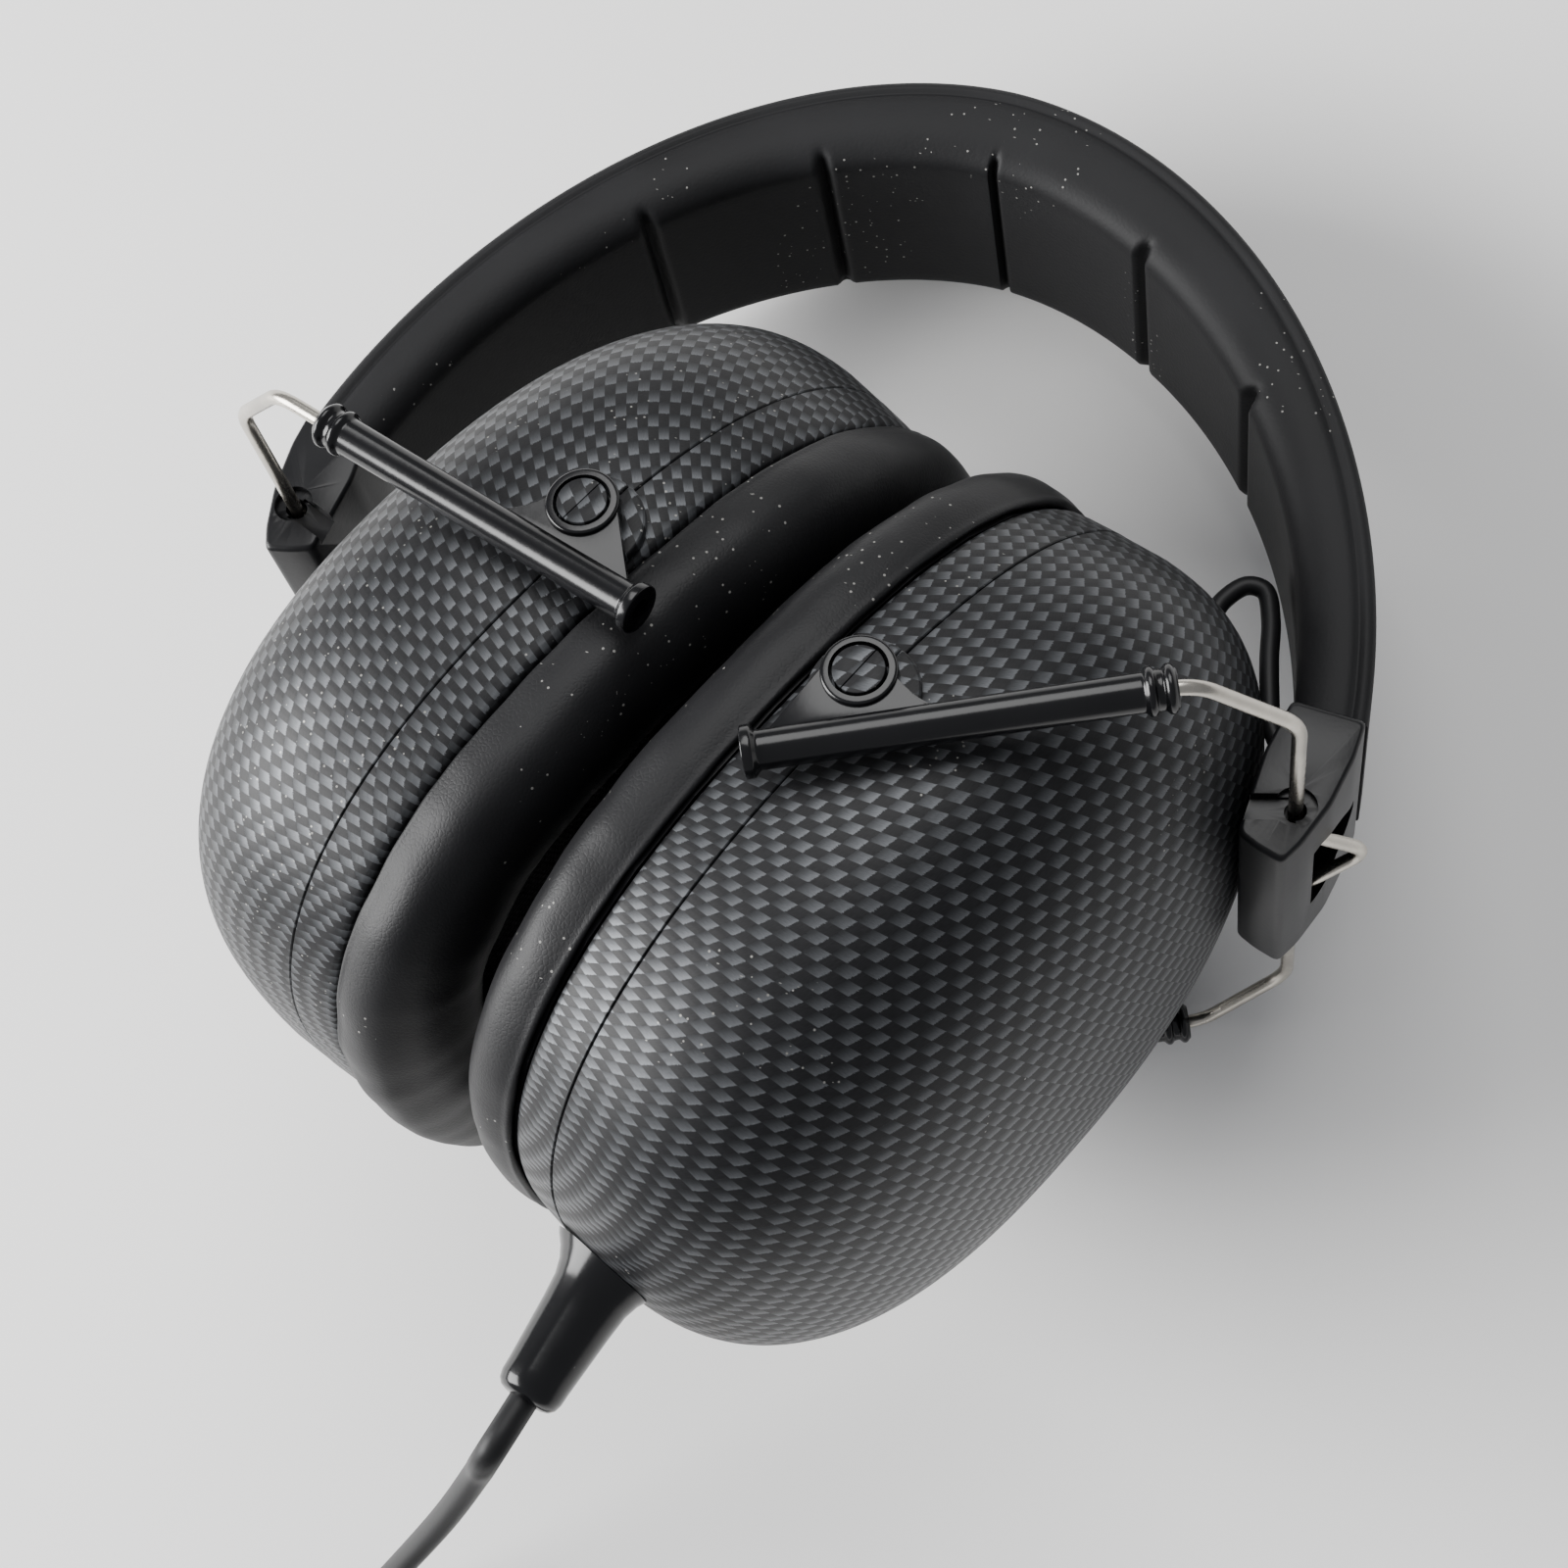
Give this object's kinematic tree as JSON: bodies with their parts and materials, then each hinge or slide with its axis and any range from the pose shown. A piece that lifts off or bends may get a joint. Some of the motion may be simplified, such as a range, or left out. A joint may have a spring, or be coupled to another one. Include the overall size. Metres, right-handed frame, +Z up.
{
  "type": "folding earmuff headset",
  "caption": "Folding over-ear hearing protector with padded headband, wire yokes, sliding arms, deep cups, ear cushions and a coiled plug-in cable.",
  "frame": {"origin": "middle of the headset's underside, cable not counted, as it lies on its side on a table", "axes": "+Z up from the table, +X towards the right-hand fold hinge, +Y towards the crown of the headband"},
  "size_m": [0.1522, 0.3067, 0.1102],
  "materials": {
    "carbon_shell": "satin plastic with a printed woven-fibre pattern",
    "gloss_black": "gloss black moulded plastic",
    "satin_black": "satin black moulded plastic",
    "leatherette": "fine-grained black leatherette",
    "band_skin": "matte moulded foam skin",
    "plated_wire": "nickel plated round wire",
    "spring_steel": "bright rolled steel",
    "foam": "open-cell acoustic foam",
    "cloth": "thin woven cloth",
    "board": "lacquered circuit board",
    "cord_rubber": "smooth soft cable jacket",
    "gold_plate": "gold plated contacts"
  },
  "bodies": {
    "headband": {"headband_pad": "band_skin", "headband_spring_strip": "spring_steel", "headband_inner_cable": "cord_rubber", "right_end_block": "satin_black", "left_end_block": "satin_black", "right_bridge_cable": "cord_rubber", "left_bridge_cable": "cord_rubber"},
    "right_yoke": {"right_wire_yoke": "plated_wire"},
    "right_arms": {"right_upper_arm": "gloss_black", "right_lower_arm": "gloss_black"},
    "right_cup": {"right_outer_shell": "carbon_shell", "right_rear_shell": "carbon_shell", "right_baffle_plate": "satin_black", "right_driver_frame": "satin_black", "right_driver_magnet": "spring_steel", "right_driver_diaphragm": "cloth", "right_terminal_board": "board", "right_foam_liner": "foam", "right_top_screw": "spring_steel", "right_bottom_screw": "spring_steel", "right_cushion_ring": "satin_black", "right_screen_cloth": "cloth", "right_ear_cushion": "leatherette", "right_strain_relief": "gloss_black", "cord_lead": "cord_rubber", "cord_coil": "cord_rubber", "cord_tail": "cord_rubber", "plug_body": "satin_black", "plug_contacts": "gold_plate"},
    "left_yoke": {"left_wire_yoke": "plated_wire"},
    "left_arms": {"left_upper_arm": "gloss_black", "left_lower_arm": "gloss_black"},
    "left_cup": {"left_outer_shell": "carbon_shell", "left_rear_shell": "carbon_shell", "left_baffle_plate": "satin_black", "left_driver_frame": "satin_black", "left_driver_magnet": "spring_steel", "left_driver_diaphragm": "cloth", "left_terminal_board": "board", "left_foam_liner": "foam", "left_top_screw": "spring_steel", "left_bottom_screw": "spring_steel", "left_cushion_ring": "satin_black", "left_screen_cloth": "cloth", "left_ear_cushion": "leatherette"}
  },
  "joints": [
    {"name": "right_fold", "type": "hinge", "parent": "headband", "child": "right_yoke", "pos_m": [0.06796, 0.00016, 0.04902], "axis": [0, 0.3859, 0.9225], "range_deg": [0, 62.1], "deforming": ["right_bridge_cable"]},
    {"name": "right_extend", "type": "slide", "parent": "right_yoke", "child": "right_arms", "axis": [-0.8838, -0.4317, 0.1806], "range_m": [0, 0.016]},
    {"name": "right_swivel", "type": "hinge", "parent": "right_arms", "child": "right_cup", "pos_m": [0.02323, -0.01417, 0.05502], "axis": [0, -0.3859, -0.9225], "range_deg": [0, 42]},
    {"name": "left_fold", "type": "hinge", "parent": "headband", "child": "left_yoke", "pos_m": [-0.06724, 0.00016, 0.04902], "axis": [0, -0.3859, -0.9225], "range_deg": [0, 76.2], "deforming": ["left_bridge_cable"]},
    {"name": "left_extend", "type": "slide", "parent": "left_yoke", "child": "left_arms", "axis": [0.9711, -0.2201, 0.0921], "range_m": [0, 0.0035]},
    {"name": "left_swivel", "type": "hinge", "parent": "left_arms", "child": "left_cup", "pos_m": [-0.01464, -0.00492, 0.05115], "axis": [0, 0.3859, 0.9225], "range_deg": [0, 88]}
  ],
  "couplings": [
    {"joint": "right_extend", "follows": "right_fold", "m_per_rad": 0.014762},
    {"joint": "right_swivel", "follows": "right_fold", "ratio": 0.67633},
    {"joint": "left_extend", "follows": "left_fold", "m_per_rad": 0.0026317},
    {"joint": "left_swivel", "follows": "left_fold", "ratio": 1.1549}
  ]
}
